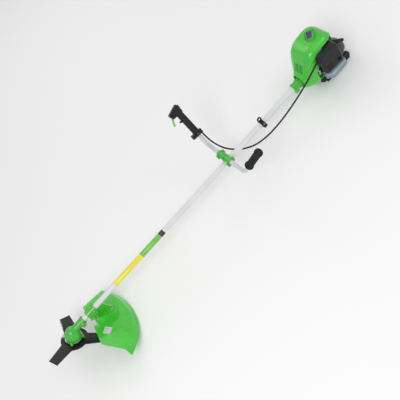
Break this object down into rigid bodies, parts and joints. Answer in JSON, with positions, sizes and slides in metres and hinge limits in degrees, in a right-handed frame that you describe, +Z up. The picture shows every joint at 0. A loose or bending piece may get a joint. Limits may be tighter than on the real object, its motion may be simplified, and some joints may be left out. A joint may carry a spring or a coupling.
{
  "type": "string trimmer",
  "caption": "Petrol trimmer with a straight shaft, two bicycle handlebars, a blade head under a wide guard, and a rear engine with tank, filter and pull starter.",
  "frame": {"origin": "on the ground, under the middle of the machine's box measured without the throttle cable; it stands on the guard's rim and the two rails of the tank stand", "axes": "+X runs from the blade to the engine, +Y to the operator's right, +Z up"},
  "size_m": [1.957, 0.5498, 0.3732],
  "materials": {
    "green_plastic": "glossy grass-green injection-moulded plastic",
    "green_casting": "green powder-coated aluminium casting",
    "black_plastic": "black moulded plastic with a fine grain",
    "black_rubber": "soft black rubber",
    "white_tube": "white powder-coated tube",
    "blade_steel": "black-coated spring steel",
    "bright_metal": "machined aluminium",
    "zinc_bolts": "yellow-passivated zinc plating",
    "steel": "ground steel",
    "cast_aluminium": "raw die-cast aluminium",
    "heat_steel": "heat-resistant dark paint on pressed steel",
    "tank_plastic": "translucent grey-blue blow-moulded plastic",
    "foam": "open-cell foam",
    "ceramic": "glazed ceramic and plated steel"
  },
  "bodies": {
    "machine": {"gear_case": "green_casting", "head_dust_cover": "bright_metal", "ball_bearings": "steel", "head_bolts": "zinc_bolts", "shaft_tube": "white_tube", "shaft_bushes": "black_rubber", "guard": "green_plastic", "guard_bracket": "green_casting", "guard_cap": "green_casting", "left_handlebar": "white_tube", "right_handlebar": "white_tube", "handle_base": "green_casting", "handle_cap": "green_casting", "left_grip": "black_rubber", "throttle_body": "black_plastic", "throttle_cover": "black_plastic", "harness_hanger": "black_plastic", "clutch_housing": "green_casting", "crank_bearings": "steel", "crankcase_front": "cast_aluminium", "crankcase_rear": "cast_aluminium", "cylinder": "cast_aluminium", "piston": "cast_aluminium", "connecting_rod": "steel", "spark_plug": "ceramic", "ignition_coil": "black_plastic", "fan_cover": "green_plastic", "cylinder_cover": "green_plastic", "cable_loom": "black_plastic", "carburettor": "cast_aluminium", "filter_base": "black_plastic", "filter_element": "foam", "muffler": "heat_steel", "starter_housing": "black_plastic", "fuel_tank": "tank_plastic", "tank_stand": "black_plastic", "clamp_screws": "steel"},
    "cutter": {"bevel_gear": "steel", "output_spindle": "steel", "upper_flange": "steel", "blade": "blade_steel", "lower_flange": "steel", "nut_cup": "steel", "blade_nut": "steel"},
    "drive": {"bevel_pinion": "steel", "drive_shaft": "steel", "clutch_drum": "steel"},
    "crank": {"crankshaft": "steel", "flywheel": "cast_aluminium", "clutch_shoes": "steel"},
    "trigger": {"throttle_trigger": "green_plastic"},
    "trigger_lock": {"throttle_lock": "green_plastic"},
    "switch": {"stop_switch": "black_plastic"},
    "carb_lever": {"throttle_lever": "steel"},
    "choke": {"choke_lever": "black_plastic"},
    "primer": {"primer_bulb": "black_rubber"},
    "filter_lid": {"filter_cover": "black_plastic"},
    "tank_cap": {"fuel_cap": "black_plastic"},
    "pull_handle": {"starter_handle": "black_plastic"},
    "rope_reel": {"starter_reel": "black_plastic"}
  },
  "joints": [
    {"name": "blade_spin", "type": "hinge", "parent": "machine", "child": "cutter", "pos_m": [-0.82722, -0.01229, 0.19417], "axis": [0.5021, 0, 0.8648], "continuous": true},
    {"name": "drive_spin", "type": "hinge", "parent": "machine", "child": "drive", "pos_m": [-0.82722, -0.01229, 0.19417], "axis": [0.9988, 0, -0.0496], "continuous": true},
    {"name": "crank_spin", "type": "hinge", "parent": "machine", "child": "crank", "pos_m": [0.84772, -0.01229, 0.11106], "axis": [0.9988, 0, -0.0496], "continuous": true},
    {"name": "trigger_pull", "type": "hinge", "parent": "machine", "child": "trigger", "pos_m": [0.22238, 0.24926, 0.35006], "axis": [0.0649, -0.8387, 0.5408], "range_deg": [0, 20], "stiffness_Nm_per_rad": 0.15},
    {"name": "carb_lever_turn", "type": "hinge", "parent": "machine", "child": "carb_lever", "pos_m": [0.84201, -0.07579, 0.17743], "axis": [0.0496, 0, 0.9988], "range_deg": [0, 60]},
    {"name": "lock_press", "type": "slide", "parent": "machine", "child": "trigger_lock", "axis": [-0.9929, 0, 0.1191], "range_m": [0, 0.004], "stiffness_N_per_m": 120},
    {"name": "stop_switch_slide", "type": "slide", "parent": "machine", "child": "switch", "axis": [-0.9929, 0, 0.1191], "range_m": [0, 0.006]},
    {"name": "choke_turn", "type": "hinge", "parent": "machine", "child": "choke", "pos_m": [0.79398, -0.09379, 0.13776], "axis": [0.9988, 0, -0.0496], "range_deg": [0, 60]},
    {"name": "primer_press", "type": "slide", "parent": "machine", "child": "primer", "axis": [0.0496, 0, 0.9988], "range_m": [0, 0.004], "stiffness_N_per_m": 150},
    {"name": "filter_cover_off", "type": "slide", "parent": "machine", "child": "filter_lid", "axis": [0, -1, 0], "range_m": [0, 0.06]},
    {"name": "fuel_cap_turn", "type": "hinge", "parent": "machine", "child": "tank_cap", "pos_m": [0.80676, -0.03429, 0.032], "axis": [-0.7062, -0.7071, 0.035], "range_deg": [0, 450]},
    {"name": "starter_pull", "type": "slide", "parent": "machine", "child": "pull_handle", "axis": [0.1746, -0.7001, 0.6923], "range_m": [0, 0.6], "stiffness_N_per_m": 15},
    {"name": "reel_turn", "type": "hinge", "parent": "machine", "child": "rope_reel", "pos_m": [0.93462, -0.01229, 0.10675], "axis": [0.9988, 0, -0.0496], "range_deg": [0, 1147]}
  ],
  "couplings": [
    {"joint": "drive_spin", "follows": "blade_spin", "ratio": 1.3571},
    {"joint": "carb_lever_turn", "follows": "trigger_pull", "ratio": 3},
    {"joint": "reel_turn", "follows": "starter_pull", "rad_per_m": 33.333}
  ]
}
